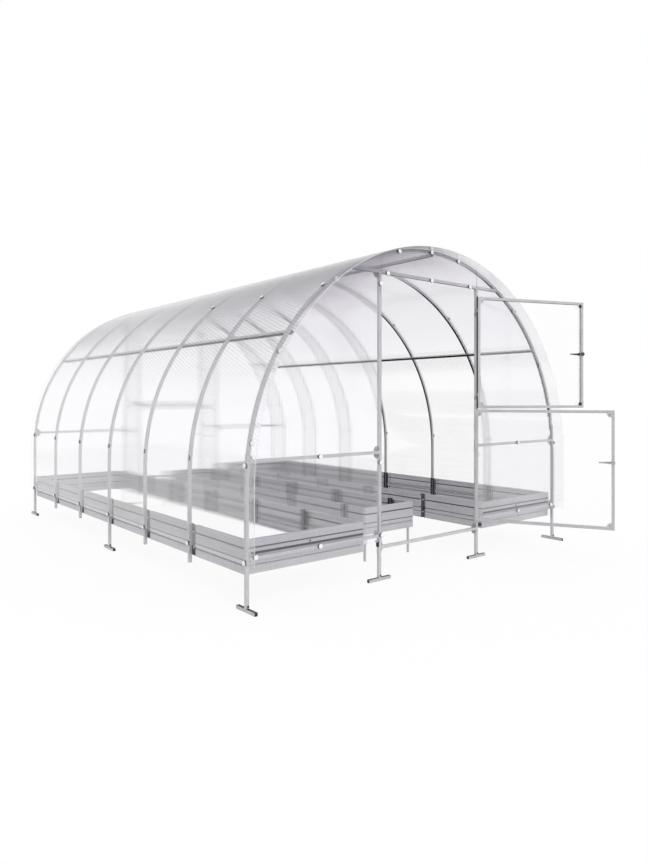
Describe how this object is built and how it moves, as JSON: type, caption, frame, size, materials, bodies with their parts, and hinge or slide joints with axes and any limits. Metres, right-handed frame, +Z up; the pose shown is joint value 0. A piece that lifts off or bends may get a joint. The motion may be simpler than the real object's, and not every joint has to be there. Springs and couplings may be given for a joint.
{
  "type": "polycarbonate greenhouse",
  "caption": "Barrel-roofed garden greenhouse: square steel hoops under bent clear sheet, gable door split into a lower and an upper leaf, raised beds inside.",
  "frame": {"origin": "underside of the foot under the front left leg, on the leg's axis", "axes": "+X across the front to the right leg, +Y along the house to the back, +Z up"},
  "size_m": [3.0286, 4.9744, 2.2091],
  "materials": {
    "hoop_steel": "bright zinc coat",
    "rail_steel": "bright zinc coat",
    "foot_steel": "bright zinc coat",
    "leaf_steel": "bright zinc coat",
    "clamp_steel": "bright zinc coat",
    "hinge_steel": "bright zinc coat",
    "latch_metal": "satin dark grey",
    "clear_sheet": "clear twin-wall sheet, faint ribs",
    "bed_steel": "pale grey coated steel",
    "bracket_steel": "dull zinc, in shade",
    "stake_steel": "dull zinc"
  },
  "bodies": {
    "frame": {"arch_1": "hoop_steel", "arch_2": "hoop_steel", "arch_3": "hoop_steel", "arch_4": "hoop_steel", "arch_5": "hoop_steel", "arch_6": "hoop_steel", "arch_7": "hoop_steel", "ridge_purlin": "rail_steel", "left_purlin": "rail_steel", "right_purlin": "rail_steel", "left_feet": "foot_steel", "right_feet": "foot_steel", "front_post_feet": "foot_steel", "rear_post_feet": "foot_steel", "front_posts": "rail_steel", "rear_posts": "rail_steel", "front_top_rail": "rail_steel", "rear_top_rail": "rail_steel", "front_side_rails": "rail_steel", "rear_side_rails": "rail_steel", "front_threshold": "rail_steel", "rear_threshold": "rail_steel", "front_clamps": "clamp_steel", "rear_clamps": "clamp_steel", "roof_sheet_front": "clear_sheet", "roof_sheet_rear": "clear_sheet", "front_left_sheet": "clear_sheet", "front_right_sheet": "clear_sheet", "front_top_sheet": "clear_sheet", "rear_gable_sheets": "clear_sheet", "rear_leaf_frames": "leaf_steel", "rear_leaf_sheets": "clear_sheet", "rear_latches": "rail_steel", "rear_hinges": "hinge_steel", "left_bed": "bed_steel", "centre_bed": "bed_steel", "right_bed": "bed_steel", "left_bed_brackets": "bracket_steel", "right_bed_brackets": "bracket_steel", "centre_bed_brackets": "bracket_steel", "centre_bed_stakes": "stake_steel", "post_hinges": "hinge_steel"},
    "lower_leaf": {"lower_leaf_frame": "leaf_steel", "lower_leaf_sheet": "clear_sheet", "lower_leaf_hinges": "hinge_steel"},
    "upper_leaf": {"upper_leaf_frame": "leaf_steel", "upper_leaf_sheet": "clear_sheet", "upper_leaf_hinges": "hinge_steel"},
    "lower_latch_turn": {"lower_latch": "latch_metal"},
    "upper_latch_turn": {"upper_latch": "latch_metal"}
  },
  "joints": [
    {"name": "lower_leaf_swing", "type": "hinge", "parent": "frame", "child": "lower_leaf", "pos_m": [1.973, -0.021, 0.68], "axis": [0, 0, 1], "range_deg": [-118, 47]},
    {"name": "upper_leaf_swing", "type": "hinge", "parent": "frame", "child": "upper_leaf", "pos_m": [1.973, -0.021, 1.51], "axis": [0, 0, 1], "range_deg": [-160, 5]},
    {"name": "lower_latch_turn", "type": "hinge", "parent": "lower_leaf", "child": "lower_latch_turn", "pos_m": [2.3913, -0.85244, 0.738], "axis": [0.8829, 0.4695, 0], "range_deg": [0, 180]},
    {"name": "upper_latch_turn", "type": "hinge", "parent": "upper_leaf", "child": "upper_latch_turn", "pos_m": [2.8402, -0.35898, 1.525], "axis": [0.342, 0.9397, 0], "range_deg": [0, 180]}
  ]
}
